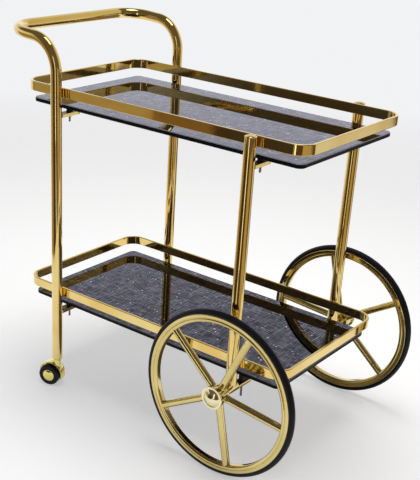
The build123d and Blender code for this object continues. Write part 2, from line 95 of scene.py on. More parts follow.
class CartSizes(bpy.types.PropertyGroup):
    """Sizes of the cart's pieces."""

    tube_diameter: length("Tube diameter", "Outside diameter of the legs and the handle", 0.025)
    tube_wall: length("Tube wall", "Wall of the legs and the handle", 0.0015)
    handle_reach: length("Handle reach", "Handle bar's distance behind the rear legs", 0.154)
    handle_height: length("Handle height", "Height of the handle bar's centre line", 0.848)
    handle_rise: length("Handle rise", "How far the handle's arms climb towards the bar", 0.010)
    handle_bend: length("Handle bend", "Bend from each rear leg into the handle's arm", 0.070)
    handle_corner: length("Handle corner", "Bend from each arm into the bar", 0.067)
    cap_rim: length("Cap rim", "Straight rim under a leg cap's dome", 0.0015)
    sleeve_wall: length("Sleeve wall", "Wall of the cross sleeves on the front legs", 0.002)
    rail_thickness: length("Rail thickness", "Thickness of the rails' flat bar", 0.006)
    rail_corner: length("Rail corner", "Outer corner radius of the rails", 0.040)
    rail_edge: length("Rail edge", "Rounding of the rails' long edges", 0.0015)
    glass_corner: length("Glass corner", "Corner radius of the glass plates", 0.015)
    glass_bevel: length("Glass bevel", "Polished bevel along the glass edges", 0.0016)
    tab_width: length("Tab width", "Width of the flat bars that carry the glass", 0.020)
    tab_thickness: length("Tab thickness", "Thickness of the flat bars that carry the glass", 0.008)
    tab_reach: length("Tab reach", "Length of each flat bar from the face of its leg", 0.058)
    tab_edge: length("Tab edge", "Rounding of the flat bars' edges", 0.0007)
    pad_distance: length("Pad distance", "Pad centre's distance from the face of its leg", 0.030)
    pad_diameter: length("Pad diameter", "Diameter of the rubber pads", 0.015)
    pad_height: length("Pad height", "Height of the rubber pads", 0.008)
    collar_diameter: length("Collar diameter", "Diameter of the spacers at the front", 0.015)
    stud_diameter: length("Stud diameter", "Diameter over the studs' thread", 0.005)
    stud_pitch: length("Stud pitch", "Pitch of the studs' thread", 0.0008)
    rear_tail: length("Rear tail", "Stud length under a rear lower flat bar", 0.020)
    nut_width: length("Nut width", "Nuts' size across the flats", 0.008)
    nut_height: length("Nut height", "Height of the nuts", 0.004)
    tyre_shoulder: length("Tyre shoulder", "Height of the tyres' straight sides", 0.004)
    spoke_count: IntProperty(name="Spokes", description="Spokes in each large wheel", default=5, min=3)
    spoke_diameter: length("Spoke diameter", "Diameter of the spokes", 0.0165)
    rim_width: length("Rim width", "Width of the rim at its outer band", 0.016)
    rim_depth: length("Rim depth", "Rim's depth from the tyre to its bore", 0.0175)
    rim_band: length("Rim band", "Width of the rim's flat outer band", 0.0075)
    rim_crown: length("Rim crown", "Fall of the rim's inner ring towards its bore", 0.0030)
    rim_groove: length("Rim groove", "Width of the groove beside the band", 0.002)
    rim_groove_depth: length("Groove depth", "Depth of the groove beside the band", 0.0012)
    hub_neck_diameter: length("Hub neck", "Diameter of the hub towards the cart", 0.024)
    hub_drum_length: length("Hub drum", "Length of the drum that the spokes stand on", 0.031)
    hub_recess: length("Hub recess", "Depth and radius of the recess under a hub cap", 0.012)
    hub_bore: length("Hub bore", "Diameter of the bore for the bushes", 0.0141)
    hub_plug: length("Cap plug", "Part of a hub cap inside the recess", 0.003)
    hub_dome_diameter: length("Hub dome", "Diameter of the dome on a hub cap", 0.040)
    hub_dome_height: length("Dome height", "Height of the dome on a hub cap", 0.0095)
    disc_diameter: length("Disc diameter", "Diameter of the discs on the caster wheels", 0.030)
    disc_dome: length("Disc dome", "Height of the dome on a caster disc", 0.003)
    disc_seat: length("Disc seat", "Depth of the seat for a caster disc", 0.002)
    roller_gap: length("Roller gap", "Caster wheel's distance from the caster's middle", 0.0035)
    roller_width: length("Roller width", "Width of one caster wheel", 0.0165)
    roller_bore: length("Roller bore", "Diameter of a caster wheel's bore", 0.0061)
    hood_gap: length("Hood gap", "Clearance between a caster wheel and its hood", 0.0025)
    hood_width: length("Hood width", "Width of the caster hoods", 0.022)
    hood_wall: length("Hood wall", "Thickness of the caster hoods", 0.0025)
    boss_depth: length("Boss depth", "Depth of the boss on a caster hood", 0.024)
    boss_diameter: length("Boss diameter", "Diameter of the boss on a caster hood", 0.018)
    web_thickness: length("Web thickness", "Thickness of the web between caster wheels", 0.005)
    lobe_diameter: length("Lobe diameter", "Diameter of the web round a caster's axle", 0.018)


class CartFinish(bpy.types.PropertyGroup):
    """Colours of the cart's finishes and of the studio round it."""

    gold: colour("Gold", "Polished gold plate", (0.84, 0.665, 0.26))
    gold_deep: colour("Deep gold", "Warmer patches in the gold plate", (0.77, 0.53, 0.15))
    # Wheel, caster and cap golds are the frame's one plate retoned: painted reflection of the surroundings
    # each part mirrors
    wheel_gold: colour("Wheel gold", "Plate on the wheels", (0.76, 0.64, 0.265))
    wheel_gold_deep: colour("Deep wheel gold", "Warmer patches on the wheels", (0.62, 0.485, 0.175))
    caster_gold: colour("Caster gold", "Plate on the casters", (0.88, 0.78, 0.27))
    caster_gold_deep: colour("Deep caster gold", "Warmer patches on the casters", (0.74, 0.58, 0.12))
    cap_gold: colour("Cap gold", "Plate on the hub caps", (0.90, 0.83, 0.54))
    cap_gold_deep: colour("Deep cap gold", "Warmer patches on the hub caps", (0.82, 0.72, 0.40))
    steel: colour("Steel", "Plated studs, nuts and axles", (0.56, 0.56, 0.58))
    steel_deep: colour("Deep steel", "Darker patches on the plated steel", (0.448, 0.448, 0.464))
    glass: colour("Glass", "Ground of the printed glass", (0.006, 0.007, 0.014))
    thread: colour("Print", "Woven lines printed under the glass", (0.50, 0.51, 0.64))
    glitter: colour("Glitter", "Flakes scattered in the print", (0.88, 0.88, 0.90))
    glass_edge: colour("Glass edge", "Cut edge of the glass", (0.007, 0.008, 0.012))
    # Glass bevel: pale grey painted highlight on the glass's upper bevel
    glass_bevel: colour("Glass bevel", "Polished bevel along the glass", (0.17, 0.18, 0.21))
    tyre: colour("Tyre", "Solid rubber tyres", (0.007, 0.007, 0.012))
    plastic: colour("Caster plastic", "Caster wheels", (0.004, 0.004, 0.007))
    rubber: colour("Pad rubber", "Pads and spacers under the glass", (0.014, 0.014, 0.014))
    bush: colour("Bush plastic", "Bushes in the hubs", (0.33, 0.33, 0.34))
    floor: colour("Floor", "Studio floor", (0.73, 0.735, 0.745))
    floor_glow: colour("Floor glow", "Part of the floor's white that no shadow dims", (0.42, 0.425, 0.435))
    backdrop: colour("Backdrop", "Pale sheet round the cart", (0.885, 0.89, 0.905))
    window: colour("Window", "Brighter band behind the cart", (1.0, 1.0, 1.0))
    upper_sheet: colour("Upper sheet", "Backdrop above the bright band", (0.74, 0.735, 0.73))
    right_floor: colour("Right floor", "Floor far off on the front wheels' side", (0.74, 0.71, 0.66))
    right_sheet: colour("Right sheet", "Backdrop on the front wheels' side", (0.64, 0.56, 0.38))
    ceiling: colour("Ceiling", "Dim room above the backdrop", (0.13, 0.11, 0.095))


def sizes():
    """Sizes as set in the scene."""
    return bpy.context.scene.cart_sizes


def finish():
    """Colours as set in the scene."""
    return bpy.context.scene.cart_finish


def rgba(tone, red=1, green=1, blue=1):
    """Colour for a socket, with each part scaled."""
    return (*(min(1, part * share) for part, share in zip(tone, (red, green, blue))), 1.0)


# Shader wiring
class Wiring:
    """Adds nodes to one emptied tree and joins them."""

    def __init__(self, tree):
        self.tree = tree
        tree.nodes.clear()

    def add(self, kind, inputs=None, **settings):
        """New node, each of whose inputs is joined to a socket or set to a value."""
        made = self.tree.nodes.new(kind)
        for name, value in settings.items():
            setattr(made, name, value)
        for name, value in (inputs or {}).items():
            if isinstance(value, bpy.types.NodeSocket):
                self.tree.links.new(value, made.inputs[name])
            else:
                made.inputs[name].default_value = value
        return made

    def mix(self, amount, first, second):
        """Blend of two colours, which are the node's last sockets."""
        return self.add("ShaderNodeMix", {0: amount, 6: first, 7: second}, data_type="RGBA").outputs[2]

    def remap(self, value, low, high, to_low=0, to_high=1):
        inputs = {"Value": value, "From Min": low, "From Max": high, "To Min": to_low, "To Max": to_high}
        return self.add("ShaderNodeMapRange", inputs, clamp=True).outputs["Result"]

    def math(self, operation, first, second):
        return self.add("ShaderNodeMath", {0: first, 1: second}, operation=operation).outputs["Value"]

    def vector(self, operation, first, second=(0, 0, 0)):
        return self.add("ShaderNodeVectorMath", {0: first, 1: second}, operation=operation).outputs

    def noise(self, vector, scale, detail=2.0, roughness=0.5):
        inputs = {"Vector": vector, "Scale": scale, "Detail": detail, "Roughness": roughness}
        return self.add("ShaderNodeTexNoise", inputs).outputs["Fac"]

    def stretched(self, vector, scale):
        return self.add("ShaderNodeMapping", {"Vector": vector, "Scale": scale}).outputs["Vector"]

    def bump(self, height, strength, distance):
        inputs = {"Height": height, "Strength": strength, "Distance": distance}
        return self.add("ShaderNodeBump", inputs).outputs["Normal"]

    def place(self):
        return self.add("ShaderNodeTexCoord").outputs["Object"]

    def group(self, tree, inputs=None):
        return self.add("ShaderNodeGroup", inputs, node_tree=tree).outputs

    def surface(self, inputs):
        """Principled shader on the material's output."""
        shader = self.add("ShaderNodeBsdfPrincipled", inputs)
        self.add("ShaderNodeOutputMaterial", {"Surface": shader.outputs["BSDF"]})


# Shared effects
def new_group(name, inputs, outputs):
    """Shader group with named values in and out, and the sockets of what it is given."""
    group = bpy.data.node_groups.new(name, "ShaderNodeTree")
    for socket, default in inputs.items():
        made = group.interface.new_socket(socket, in_out="INPUT", socket_type="NodeSocketFloat")
        made.default_value = default
    for socket in outputs:
        group.interface.new_socket(socket, in_out="OUTPUT", socket_type="NodeSocketFloat")
    wire = Wiring(group)
    return wire, wire.add("NodeGroupInput").outputs


@cache
def polish_marks():
    """Slow tint changes, hand smudges and the slight waviness of buffed metal."""
    wire, given = new_group(
        "polish_marks", {"Tint size": 9.0, "Wave size": 28.0}, ("Tint", "Smudge", "Height"))
    place = wire.place()
    tint = wire.remap(wire.noise(place, given["Tint size"], detail=3), low=0.35, high=0.68)
    smudge = wire.remap(wire.noise(place, scale=21, detail=5, roughness=0.62), low=0.50, high=0.74)
    drawn_out = wire.stretched(place, (1, 1, 0.06))
    hair = wire.remap(wire.noise(drawn_out, scale=1500, detail=1), low=0.45, high=0.75, to_high=0.35)
    wave = wire.noise(place, given["Wave size"], detail=1)
    wire.add("NodeGroupOutput", {"Tint": tint, "Smudge": wire.math("MAXIMUM", smudge, hair), "Height": wave})
    return wire.tree


@cache
def moulded_grain():
    """Fine moulded grain with slow dull patches."""
    wire, given = new_group("moulded_grain", {"Grain size": 900.0}, ("Patch", "Height"))
    place = wire.place()
    patch = wire.remap(wire.noise(place, scale=26, detail=4, roughness=0.6), low=0.32, high=0.70)
    grain = wire.noise(place, given["Grain size"], detail=2)
    wire.add("NodeGroupOutput", {"Patch": patch, "Height": grain})
    return wire.tree


@cache
def linen_print():
    """Woven print with scattered glitter, as seen from above a shelf."""
    wire, given = new_group("linen_print", {"Thread gap": 0.0061, "Glitter gap": 0.0098},
                            ("Thread", "Shade", "Glitter", "Hue"))
    place = wire.place()
    ways = wire.add("ShaderNodeSeparateXYZ", {"Vector": place}).outputs
    sway, row_shift, half_gap, bare_share = 0.45, 0.37, 0.5, 0.30
    wobble = wire.math("MULTIPLY", wire.noise(place, scale=45), sway)
    threads = []
    for along_way, across_way in (("X", "Y"), ("Y", "X")):
        steps = wire.math("DIVIDE", ways[across_way], given["Thread gap"])
        turn = wire.math("ADD", steps, wobble)
        ridge = wire.remap(wire.math("PINGPONG", turn, half_gap), low=0.37, high=0.43)
        row = wire.math("MULTIPLY", wire.math("FLOOR", turn, 0.0), row_shift)
        spot = wire.add("ShaderNodeCombineXYZ", {"X": ways[along_way], "Y": row}).outputs["Vector"]
        worn = wire.noise(spot, scale=30, roughness=0.6)
        threads.append(wire.math("MULTIPLY", ridge, wire.remap(worn, low=0.38, high=0.64, to_low=0.05)))
    fade = wire.remap(wire.noise(place, scale=30), low=0.30, high=0.66, to_low=0.60)
    shade = wire.remap(wire.noise(place, scale=75, detail=1), low=0.32, high=0.68)
    per_flake = wire.math("DIVIDE", 1.0, given["Glitter gap"])
    flat = wire.stretched(place, (1, 1, 0))
    flake = wire.add("ShaderNodeTexVoronoi", {"Vector": flat, "Scale": per_flake}).outputs
    chance = wire.add("ShaderNodeSeparateColor", {"Color": flake["Color"]}).outputs
    size = wire.remap(chance["Red"], low=bare_share, high=1.0, to_low=0.03, to_high=0.18)
    dot = wire.remap(wire.math("SUBTRACT", size, flake["Distance"]), low=-0.02, high=0.02)
    present = wire.remap(chance["Red"], low=bare_share, high=bare_share + 0.01)
    wire.add("NodeGroupOutput", {
        "Thread": wire.math("MULTIPLY", wire.math("MAXIMUM", *threads), fade),
        "Shade": shade,
        "Glitter": wire.math("MULTIPLY", dot, present),
        "Hue": chance["Green"],
    })
    return wire.tree


# Finishes
def new_material(name):
    """Material and the wiring of its nodes."""
    made = bpy.data.materials.new(name)
    made.use_nodes = True
    return made, Wiring(made.node_tree)


def polished_metal(name, tone, smooth, dull, wave, wave_size=28.0, lacquer=0.45):
    """Lacquered metal with buffing marks, in a tone with its deeper patches."""
    light, deep = getattr(finish(), tone), getattr(finish(), tone + "_deep")
    made, wire = new_material(name)
    marks = wire.group(polish_marks(), {"Wave size": wave_size})
    wire.surface({
        "Metallic": 1.0, "Coat Weight": lacquer, "Coat Roughness": smooth,
        "Base Color": wire.mix(marks["Tint"], rgba(light), rgba(deep)),
        "Roughness": wire.remap(marks["Smudge"], 0, 1, smooth, dull),
        "Normal": wire.bump(marks["Height"], wave, distance=0.001),
    })
    return made


@cache
def polished_gold():
    return polished_metal("polished_gold", "gold", smooth=0.06, dull=0.13, wave=0.10)


# Same plate as polished_gold, retoned as painted reflection on the wheels, spokes, caps and casters
@cache
def wheel_gold():
    return polished_metal("wheel_gold", "wheel_gold", smooth=0.05, dull=0.13, wave=0.12)


@cache
def spoke_gold():
    return polished_metal("spoke_gold", "wheel_gold", smooth=0.05, dull=0.13, wave=0.45, wave_size=95.0)


@cache
def cap_gold():
    return polished_metal("cap_gold", "cap_gold", smooth=0.14, dull=0.20, wave=0.10)


@cache
def caster_gold():
    return polished_metal("caster_gold", "caster_gold", smooth=0.05, dull=0.13, wave=0.5, wave_size=70.0)


@cache
def plated_steel():
    return polished_metal("plated_steel", "steel", smooth=0.22, dull=0.38, wave=0.05, lacquer=0.0)


def moulded(name, tone, smooth, dull, grain, lift=1.5, specular=0.5):
    """Rubber or plastic with a fine grain and dull patches."""
    made, wire = new_material(name)
    marks = wire.group(moulded_grain())
    wire.surface({
        "Specular IOR Level": specular,
        "Base Color": wire.mix(marks["Patch"], rgba(tone), rgba(tone, lift, lift, lift)),
        "Roughness": wire.remap(marks["Patch"], 0, 1, smooth, dull),
        "Normal": wire.bump(marks["Height"], grain, distance=0.0003),
    })
    return made


@cache
def tyre_rubber():
    return moulded("tyre_rubber", finish().tyre, smooth=0.40, dull=0.56, grain=0.20, specular=0.20)


@cache
def caster_plastic():
    return moulded("caster_plastic", finish().plastic, smooth=0.08, dull=0.16, grain=0.02, specular=0.22)


@cache
def pad_rubber():
    return moulded("pad_rubber", finish().rubber, smooth=0.60, dull=0.78, grain=0.30)


@cache
def bush_plastic():
    return moulded("bush_plastic", finish().bush, smooth=0.40, dull=0.55, grain=0.10, lift=1.15)


@cache
def glass_edge():
    """Dark cut edge of the glass."""
    return moulded("glass_edge", finish().glass_edge, smooth=0.20, dull=0.32, grain=0.02, lift=1.8,
                   specular=0.05)


@cache
def glass_bevel():
    """Polished bevel between the glass and its cut edge, with its highlight painted in as pale grey."""
    return moulded("glass_bevel", finish().glass_bevel, smooth=0.05, dull=0.12, grain=0.02, lift=1.3)


@cache
def printed_glass():
    """Dark mirror print of woven lines with glitter, under polished glass."""
    made, wire = new_material("printed_glass")
    tone = finish()
    marks = wire.group(linen_print())
    smudge = wire.group(polish_marks())["Smudge"]
    rosy = rgba(tone.thread, 1.1, 0.9, 1.05)
    leafy = rgba(tone.thread, 0.9, 1.05, 0.92)
    ground = wire.mix(marks["Thread"], rgba(tone.glass), wire.mix(marks["Shade"], rosy, leafy))
    warm = rgba(tone.glitter, 1.0, 0.50, 0.40)
    flake = wire.mix(wire.remap(marks["Hue"], low=0.74, high=0.76), rgba(tone.glitter), warm)
    wire.surface({
        "Metallic": 1.0, "Specular Tint": (0.93, 0.93, 1.0, 1.0),
        "Base Color": wire.mix(marks["Glitter"], ground, flake),
        "Roughness": wire.remap(smudge, 0, 1, to_low=0.012, to_high=0.035),
    })
    return made


# Shaping
DOUBLE = 1e-6
ON_AXIS = 1e-7


def only(kind, geom):
    """Parts of one kind."""
    return [part for part in geom if isinstance(part, kind)]


def everything(bm):
    return bm.verts[:] + bm.edges[:] + bm.faces[:]


def along(axis, origin):
    """Frame whose Z runs along an axis from an origin."""
    turn = Vector(axis).to_track_quat("Z", "Y").to_matrix().to_4x4()
    return Matrix.Translation(origin) @ turn


def axle_place(side):
    """Frame whose Z runs along a large wheel's axle from the cart's middle."""
    return along((0, side, 0), (FRONT_X, 0, AXLE_Z))


def moved(bm, place):
    """Put a mesh in its place."""
    bmesh.ops.transform(bm, matrix=place, verts=bm.verts[:])
    return bm


def gather(parts):
    """One mesh from several."""
    whole = bmesh.new()
    for part in parts:
        mesh = bpy.data.meshes.new("part")
        part.to_mesh(mesh)
        part.free()
        whole.from_mesh(mesh)
        bpy.data.meshes.remove(mesh)
    return whole


def close_up(bm):
    """Merge doubles and turn the faces outwards."""
    bmesh.ops.remove_doubles(bm, verts=bm.verts[:], dist=DOUBLE)
    bmesh.ops.recalc_face_normals(bm, faces=bm.faces[:])
    return bm


def round_corners(bm, corners, size, steps):
    """Round the corners of a sheet or a block."""
    bmesh.ops.bevel(bm, geom=corners, offset=size, offset_type="OFFSET", segments=steps, profile=0.5,
                    affect="VERTICES", material=-1)


def round_edges(bm, size, steps=4, angle=50):
    """Round every edge that is sharper than an angle."""
    sharp = [edge for edge in bm.edges
             if len(edge.link_faces) == 2 and edge.calc_face_angle() > radians(angle)]
    bmesh.ops.bevel(bm, geom=sharp, offset=size, offset_type="OFFSET", segments=steps, profile=0.5,
                    affect="EDGES", material=-1, clamp_overlap=True, loop_slide=True)
    return bm


def outline_face(bm, corners, arc_steps):
    """Face in the XZ plane from (radius, height, rounding) corners."""
    ring = [bm.verts.new((radius, 0, height)) for radius, height, rounding in corners]
    bm.faces.new(ring)
    for size in sorted({rounding for radius, height, rounding in corners if rounding > 0}):
        alike = [vert for vert, corner in zip(ring, corners) if corner[2] == size]
        round_corners(bm, alike, size, arc_steps)
    bmesh.ops.remove_doubles(bm, verts=bm.verts[:], dist=DOUBLE)


def turned(corners, place, around, arc_steps=4):
    """Closed turned piece from an outline of (radius, height, rounding) corners."""
    bm = bmesh.new()
    outline_face(bm, corners, arc_steps)
    bmesh.ops.delete(bm, geom=bm.faces[:], context="FACES_ONLY")
    on_axis = [edge for edge in bm.edges if max(abs(vert.co.x) for vert in edge.verts) < ON_AXIS]
    bmesh.ops.delete(bm, geom=on_axis, context="EDGES")
    bmesh.ops.spin(bm, geom=everything(bm), cent=(0, 0, 0), axis=UP, angle=2 * pi, steps=around,
                   use_merge=True)
    return moved(close_up(bm), place)


def dome_knee(radius, height):
    """Distance from a dome's axis to the corner that its arc rounds off."""
    sphere = (radius ** 2 + height ** 2) / (2 * height)
    return sphere * tan(asin(radius / sphere) / 2)


def dome_top(radius, height, top, fullness):
    """Last corners of an outline that ends in a dome."""
    knee = dome_knee(radius, height)
    return [(knee, top, knee * fullness), (0, top, 0)]


def both_faces(half):
    """Outline of a wheel's band from the corners of its outer half."""
    other = [(radius, -height, rounding) for radius, height, rounding in reversed(half)]
    return [(radius, SPOKE_Y + height, rounding) for radius, height, rounding in half + other]


def push(bm, ring, way):
    """Extrude a ring of edges and return the new ring."""
    made = bmesh.ops.extrude_edge_only(bm, edges=ring)["geom"]
    fresh = only(BMVert, made)
    bmesh.ops.translate(bm, verts=fresh, vec=way)
    return [edge for edge in only(BMEdge, made) if all(vert in fresh for vert in edge.verts)]


def bent_tube(points, bends, radius, wall, around=48, bend_steps=18):
    """Tube bent at each inner point, with its wall."""
    bm = bmesh.new()
    points = [Vector(point) for point in points]
    start = along(points[1] - points[0], points[0])
    bmesh.ops.create_circle(bm, cap_ends=False, segments=around, radius=radius, matrix=start)
    ring, here = bm.edges[:], points[0]
    for before, corner, after, bend in zip(points, points[1:], points[2:], bends):
        way = (corner - before).normalized()
        onward = (after - corner).normalized()
        angle = way.angle(onward)
        cut = bend * tan(angle / 2)
        ring = push(bm, ring, corner - way * cut - here)
        axis = way.cross(onward).normalized()
        centre = corner - way * cut + axis.cross(way) * bend
        geom = ring + list({vert for edge in ring for vert in edge.verts})
        made = bmesh.ops.spin(bm, geom=geom, cent=centre, axis=axis, angle=angle, steps=bend_steps)
        ring = only(BMEdge, made["geom_last"])
        here = corner + onward * cut
    push(bm, ring, points[-1] - here)
    close_up(bm)
    bmesh.ops.solidify(bm, geom=bm.faces[:], thickness=wall)
    return bm


def rounded_rectangle(long_side, short_side, corner, arc_steps, one_end=False):
    """Level rectangle as one face, with all its corners round or only those of one end."""
    bm = bmesh.new()
    bmesh.ops.create_grid(bm, x_segments=1, y_segments=1, size=0.5)
    bmesh.ops.scale(bm, vec=(long_side, short_side, 1), verts=bm.verts[:])
    round_corners(bm, [vert for vert in bm.verts if vert.co.y < 0 or not one_end], corner, arc_steps)
    return bm


def thicken(bm, height):
    """Raise the faces of a level sheet into a plate."""
    made = bmesh.ops.extrude_face_region(bm, geom=bm.faces[:])["geom"]
    bmesh.ops.translate(bm, verts=only(BMVert, made), vec=(0, 0, height))
    return close_up(bm)


def new_object(name, bm, finishes):
    """Object in the scene from a finished mesh."""
    mesh = bpy.data.meshes.new(name)
    bm.to_mesh(mesh)
    bm.free()
    for each in finishes:
        mesh.materials.append(each)
    made = bpy.data.objects.new(name, mesh)
    bpy.context.scene.collection.objects.link(made)
    return made


def add_piece(name, bm, node, finishes, body="cart", flats=False, sharp=35):
    """Finished piece that rides on a body and stands for its node."""
    piece = new_object(name, bm, [make() for make in finishes])
    piece.data.shade_smooth()
    piece.data.set_sharp_from_angle(angle=radians(sharp))
    if flats:
        level = piece.modifiers.new("flat_faces", "WEIGHTED_NORMAL")
        level.keep_sharp = True
    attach(piece, body)
    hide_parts(node)


# Roundings of edges, from a scraped burr to a soft corner
BURR = 0.0002
CRISP = 0.0003
FINE = 0.0004
LIGHT = 0.0005
EASED = 0.0006
SOFT = 0.0008
BROAD = 0.0009
ROUND = 0.0012
FULL = 0.0016


# Tube work
class CART_OT_handle_frame(bpy.types.Operator):
    """Bend the rear legs and the handle from one tube"""

    bl_idname = "cart.handle_frame"
    bl_label = "Handle frame"

    def execute(self, context):
        size = sizes()
        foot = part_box("rear_frame")[0].z
        corner_z = size.handle_height - size.handle_rise
        bar_x = REAR_X - size.handle_reach
        half = [(REAR_X, LEG_Y, foot), (REAR_X, LEG_Y, corner_z), (bar_x, LEG_Y, size.handle_height)]
        points = half + [(x, -y, z) for x, y, z in reversed(half)]
        bends = [size.handle_bend, size.handle_corner, size.handle_corner, size.handle_bend]
        bm = bent_tube(points, bends, size.tube_diameter / 2, size.tube_wall)
        add_piece("handle_tube", bm, "rear_frame", [polished_gold])
        return {"FINISHED"}


def front_leg(name, place):
    radius = sizes().tube_diameter / 2
    bore = radius - sizes().tube_wall
    foot, top = AXLE_Z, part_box("front_leg_" + name)[1].z
    corners = [(bore, foot, 0), (radius, foot, 0), (radius, top, CRISP), (bore, top, 0)]
    return turned(corners, place, around=48, arc_steps=2)


def leg_cap(name, place):
    """Plug with a straight rim and a dome."""
    radius = sizes().tube_diameter / 2
    bore = radius - sizes().tube_wall
    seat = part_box("front_leg_" + name)[1].z
    low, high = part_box("front_leg_cap_" + name)
    rim = seat + sizes().cap_rim
    corners = [(0, low.z, 0), (bore, low.z, 0), (bore, seat, 0), (radius, seat, CRISP),
               (radius, rim, EASED)]
    corners += dome_top(radius, high.z - rim, high.z, fullness=0.9)
    return turned(corners, place, around=48, arc_steps=6)


def cross_sleeve(name, place):
    near, far, outer = axle_span("axle_sleeve_" + name)
    inner = outer - sizes().sleeve_wall
    corners = [(inner, near, 0), (outer, near, EASED), (outer, far, SOFT), (inner, far, FINE)]
    return turned(corners, place, around=48, arc_steps=3)


class CART_OT_front_legs(bpy.types.Operator):
    """Raise the front legs with their domed caps and cross sleeves"""

    bl_idname = "cart.front_legs"
    bl_label = "Front legs"

    def execute(self, context):
        for name, side in SIDES.items():
            upright = Matrix.Translation((FRONT_X, side * LEG_Y, 0))
            pieces = (("leg_tube_", front_leg(name, upright), "front_leg_"),
                      ("leg_cap_dome_", leg_cap(name, upright), "front_leg_cap_"),
                      ("cross_sleeve_", cross_sleeve(name, axle_place(side)), "axle_sleeve_"))
            for piece, bm, node in pieces:
                add_piece(piece + name, bm, node + name, [polished_gold])
        return {"FINISHED"}


# Shelves
def plate(node, corner, arc_steps):
    """Level sheet of a node's length and width, its thickness, and the place of its lower face."""
    low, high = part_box(node)
    centre = (low + high) / 2
    sheet = rounded_rectangle(high.x - low.x, high.y - low.y, corner, arc_steps)
    return sheet, high.z - low.z, Matrix.Translation((centre.x, centre.y, low.z))


class CART_OT_rails(bpy.types.Operator):
    """Form the flat-bar rails of both shelves"""

    bl_idname = "cart.rails"
    bl_label = "Rails"

    def execute(self, context):
        size = sizes()
        for shelf in SHELVES:
            bm, tall, place = plate(shelf + "_rail", size.rail_corner, arc_steps=18)
            bmesh.ops.inset_region(bm, faces=bm.faces[:], thickness=size.rail_thickness,
                                   use_even_offset=True, use_boundary=True)
            inner = [face for face in bm.faces if len(face.verts) > 4]
            bmesh.ops.delete(bm, geom=inner, context="FACES")
            round_edges(thicken(bm, tall), size.rail_edge)
            add_piece("rail_bar_" + shelf, moved(bm, place), shelf + "_rail", [polished_gold], flats=True)
        return {"FINISHED"}


def face_finish(lift):
    """Print on the level faces, a painted highlight on the upper bevel, and the dark cut edge below it."""
    level, sloping = 0.999, 0.3
    if abs(lift) > level:
        return printed_glass
    # Only the upward bevel takes the painted highlight; the rest of the edge stays dark
    return glass_bevel if lift > sloping else glass_edge


class CART_OT_glass(bpy.types.Operator):
    """Cut the printed glass plates with polished edges"""

    bl_idname = "cart.glass"
    bl_label = "Glass"

    def execute(self, context):
        finishes = [printed_glass, glass_edge, glass_bevel]
        for shelf in SHELVES:
            bm, thick, place = plate(shelf + "_glass", sizes().glass_corner, arc_steps=14)
            round_edges(thicken(bm, thick), sizes().glass_bevel, steps=1)
            for face in bm.faces:
                face.material_index = finishes.index(face_finish(face.normal.z))
            add_piece("glass_plate_" + shelf, moved(bm, place), shelf + "_glass", finishes,
                      flats=True)
        return {"FINISHED"}


Support = namedtuple("Support", "leg_x side tab_top stud_end dropped")


def supports(shelf):
    """Corners under a shelf, where the lower front bars are dropped to the axles."""
    size = sizes()
    tab_low, tab_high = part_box(shelf + "_tabs")
    stud_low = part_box(shelf + "_studs")[0].z
    for leg_x in (FRONT_X, REAR_X):
        dropped = shelf == "lower" and leg_x == FRONT_X
        tab_top = tab_low.z + size.tab_thickness if dropped else tab_high.z
        short_tail = shelf == "lower" and leg_x == REAR_X
        stud_end = tab_top - size.tab_thickness - size.rear_tail if short_tail else stud_low
        for side in SIDES.values():
            yield Support(leg_x, side, tab_top, stud_end, dropped)


def pad_place(leg_x, side, z):
    """Place of a pad's axis at a height."""
    inward = sizes().tube_diameter / 2 + sizes().pad_distance
    return Matrix.Translation((leg_x, side * (LEG_Y - inward), z))


def support_bar(spot):
    """Flat bar with a round inner end, sunk a little into its leg where it isn't dropped."""
    size = sizes()
    radius = size.tube_diameter / 2
    sunk_share, end_share = 0.8, 0.499
    start = radius if spot.dropped else radius * sunk_share
    run = radius + size.tab_reach - start
    sheet = rounded_rectangle(size.tab_width, run, size.tab_width * end_share, arc_steps=12, one_end=True)
    bm = round_edges(thicken(sheet, size.tab_thickness), size.tab_edge, steps=3)
    turn = Matrix.Rotation(0 if spot.side > 0 else pi, 4, "Z")
    centre = (spot.leg_x, spot.side * (LEG_Y - start - run / 2), spot.tab_top - size.tab_thickness)
    return moved(bm, Matrix.Translation(centre) @ turn)


class CART_OT_tabs(bpy.types.Operator):
    """Shape the round-ended flat bars that carry the glass"""

    bl_idname = "cart.tabs"
    bl_label = "Support bars"

    def execute(self, context):
        for shelf in SHELVES:
            bm = gather(support_bar(spot) for spot in supports(shelf))
            add_piece("support_bars_" + shelf, bm, shelf + "_tabs", [polished_gold], flats=True)
        return {"FINISHED"}


def glass_pad(place):
    """Waisted pad with a softer upper edge."""
    radius, tall = sizes().pad_diameter / 2, sizes().pad_height
    waist, lip, neck, seat_edge = radius * 0.93, 0.003, 0.0036, 0.001
    corners = [(0, 0, 0), (radius, 0, FINE), (radius, lip, FINE), (waist, neck, CRISP),
               (waist, tall - neck, CRISP), (radius, tall - lip, FINE), (radius, tall, seat_edge),
               (0, tall, 0)]
    return turned(corners, place, around=40, arc_steps=3)


def front_spacer(side):
    low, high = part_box("lower_front_collars")
    ring, bore, tall = sizes().collar_diameter / 2, sizes().stud_diameter / 2, high.z - low.z
    corners = [(bore, 0, 0), (ring, 0, EASED), (ring, tall, EASED), (bore, tall, 0)]
    return turned(corners, pad_place(FRONT_X, side, low.z), around=40, arc_steps=3)


class CART_OT_pads(bpy.types.Operator):
    """Mould the rubber pads and the front spacers under the glass"""

    bl_idname = "cart.pads"
    bl_label = "Pads"

    def execute(self, context):
        for shelf in SHELVES:
            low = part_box(shelf + "_glass")[0].z - sizes().pad_height
            bm = gather(glass_pad(pad_place(spot.leg_x, spot.side, low)) for spot in supports(shelf))
            add_piece("glass_pads_" + shelf, bm, shelf + "_pads", [pad_rubber])
        bm = gather(front_spacer(side) for side in SIDES.values())
        add_piece("front_spacers", bm, "lower_front_collars", [pad_rubber])
        return {"FINISHED"}


